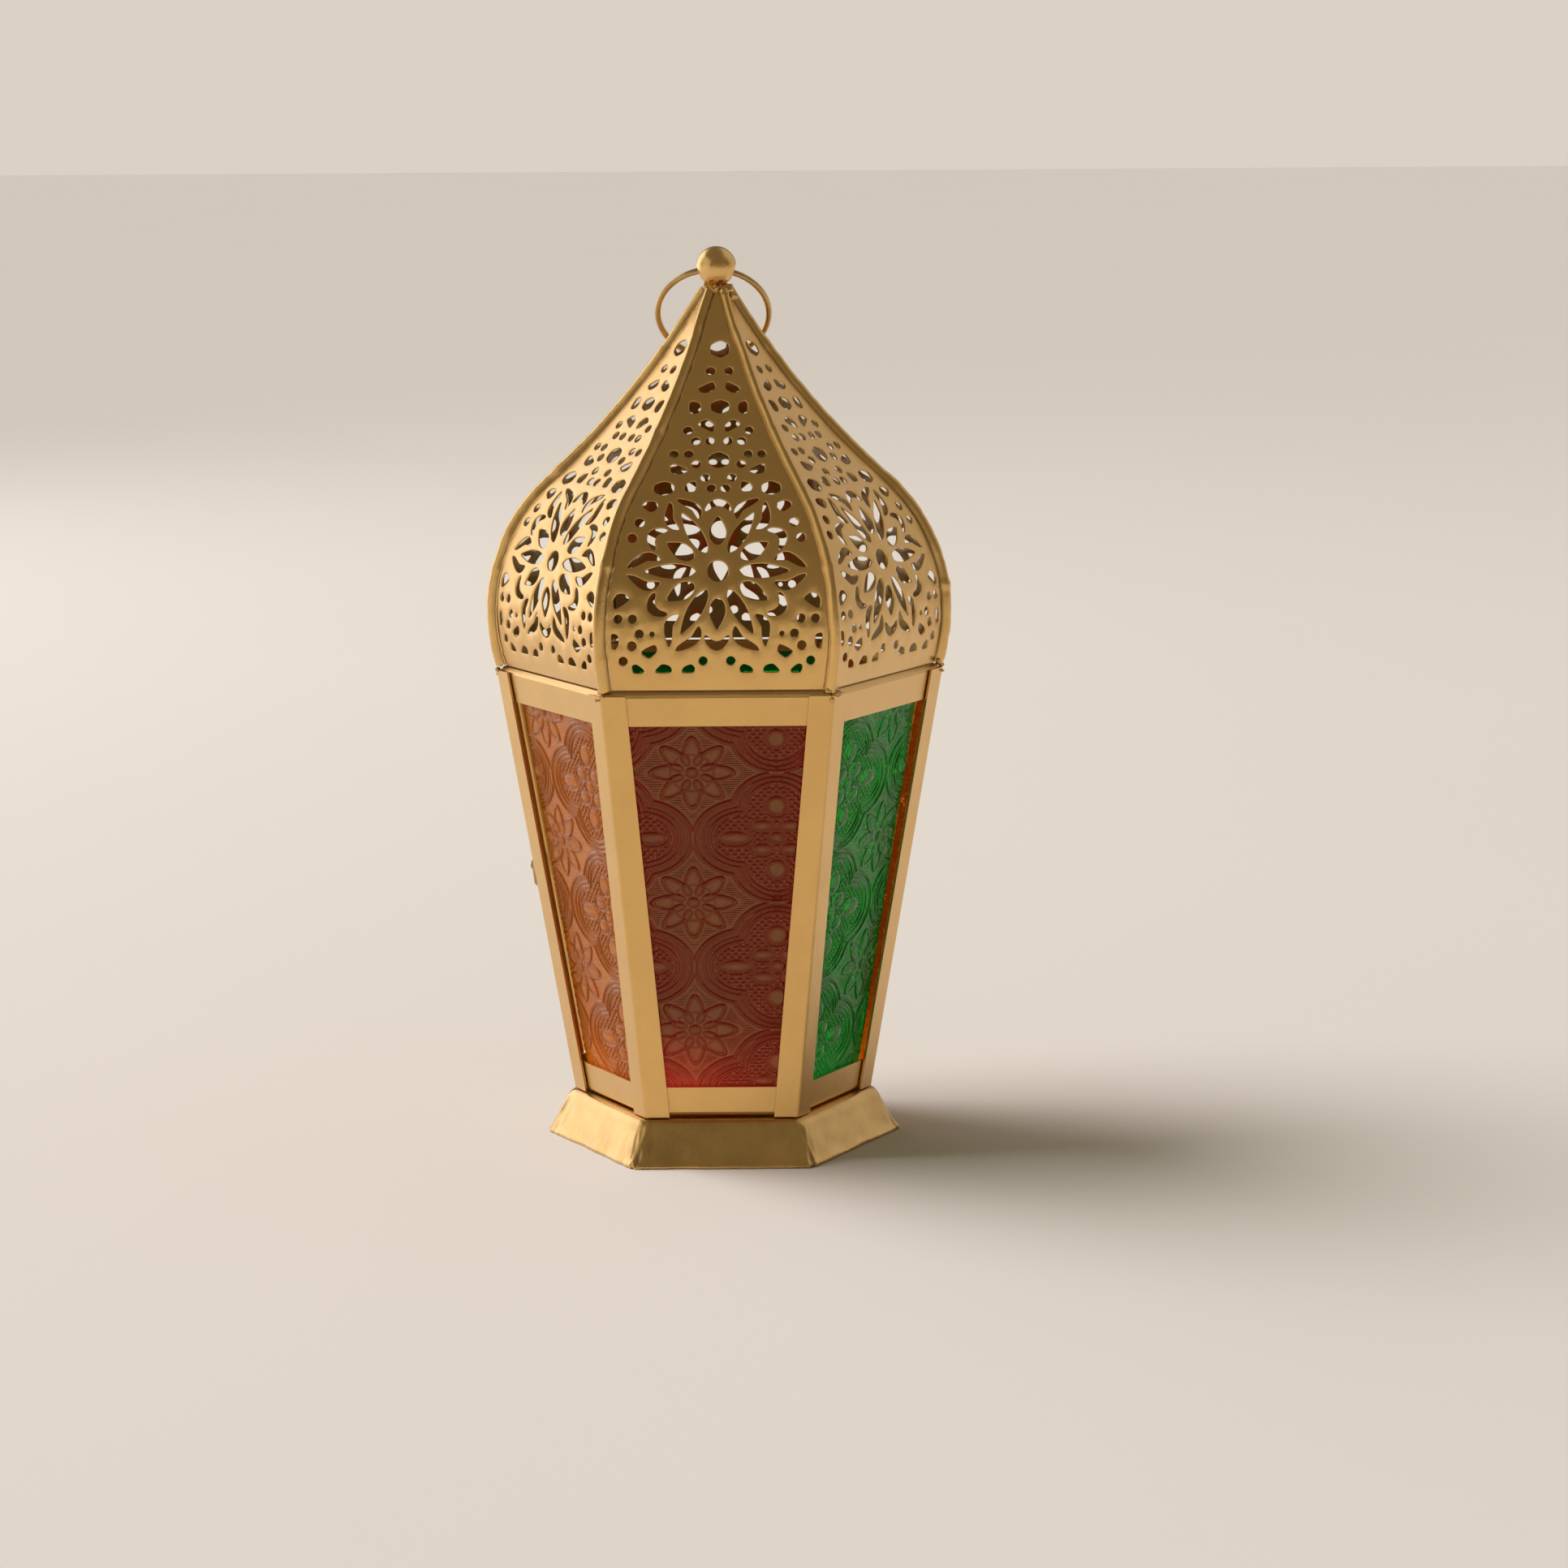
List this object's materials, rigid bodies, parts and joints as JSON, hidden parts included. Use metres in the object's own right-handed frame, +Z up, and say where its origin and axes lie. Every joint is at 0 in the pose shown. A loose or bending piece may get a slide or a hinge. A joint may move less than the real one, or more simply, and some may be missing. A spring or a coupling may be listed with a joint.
{
  "type": "candle lantern",
  "caption": "Six-sided sheet-metal candle lantern with coloured pressed-glass panes, glazed door, pierced onion roof, flared base pan and hanging ring.",
  "frame": {"origin": "middle of the base pan's foot, on the surface that the lantern stands on", "axes": "+Z up to the finial, -Y out of the front pane, +Y out of the back pane, +X to the right seen from the front"},
  "size_m": [0.1236, 0.1074, 0.24],
  "materials": {
    "gold_metal": "satin, hand-soldered sheet",
    "dark_gold_metal": "darker drawn wire",
    "red_glass": "pressed pattern, dark red",
    "green_glass": "pressed pattern, green",
    "orange_glass": "pressed pattern, amber orange"
  },
  "bodies": {
    "lantern": {"base_pan": "gold_metal", "candle_cup": "gold_metal", "candle_cup_rivet": "gold_metal", "corner_post_1": "gold_metal", "corner_post_2": "gold_metal", "corner_post_3": "gold_metal", "corner_post_4": "gold_metal", "corner_post_5": "gold_metal", "corner_post_6": "gold_metal", "top_rail_1": "gold_metal", "top_rail_2": "gold_metal", "top_rail_3": "gold_metal", "top_rail_4": "gold_metal", "top_rail_5": "gold_metal", "top_rail_6": "gold_metal", "bottom_rail_1": "gold_metal", "bottom_rail_2": "gold_metal", "bottom_rail_3": "gold_metal", "bottom_rail_4": "gold_metal", "bottom_rail_5": "gold_metal", "bottom_rail_6": "gold_metal", "roof_panel_1": "gold_metal", "roof_panel_2": "gold_metal", "roof_panel_3": "gold_metal", "roof_panel_4": "gold_metal", "roof_panel_5": "gold_metal", "roof_panel_6": "gold_metal", "roof_rib_1": "gold_metal", "roof_rib_2": "gold_metal", "roof_rib_3": "gold_metal", "roof_rib_4": "gold_metal", "roof_rib_5": "gold_metal", "roof_rib_6": "gold_metal", "finial_ball": "gold_metal", "finial_stem": "gold_metal", "post_knuckle_1": "gold_metal", "post_knuckle_2": "gold_metal", "hinge_pin_1": "dark_gold_metal", "hinge_pin_2": "dark_gold_metal", "latch_stud": "dark_gold_metal", "glass_pane_1": "red_glass", "glass_pane_2": "green_glass", "glass_pane_3": "orange_glass", "glass_pane_4": "green_glass", "glass_pane_6": "orange_glass"},
    "ring": {"hanging_ring": "dark_gold_metal"},
    "door": {"door_frame": "gold_metal", "door_glass": "red_glass", "door_knob": "gold_metal", "door_knuckle_1": "gold_metal", "door_knuckle_2": "gold_metal"},
    "latch": {"latch_button": "gold_metal"}
  },
  "joints": [
    {"name": "ring_swing", "type": "hinge", "parent": "lantern", "child": "ring", "pos_m": [-0.001, 0, 0.2333], "axis": [1, 0, 0], "range_deg": [0, 287.5]},
    {"name": "door_hinge", "type": "hinge", "parent": "lantern", "child": "door", "pos_m": [-0.02473, 0.02998, 0.0122], "axis": [0.0835, -0.1447, -0.986], "range_deg": [0, 115]},
    {"name": "latch_turn", "type": "hinge", "parent": "lantern", "child": "latch", "pos_m": [-0.05006, 0.00322, 0.07361], "axis": [0.8569, -0.4947, 0.1452], "continuous": true}
  ]
}
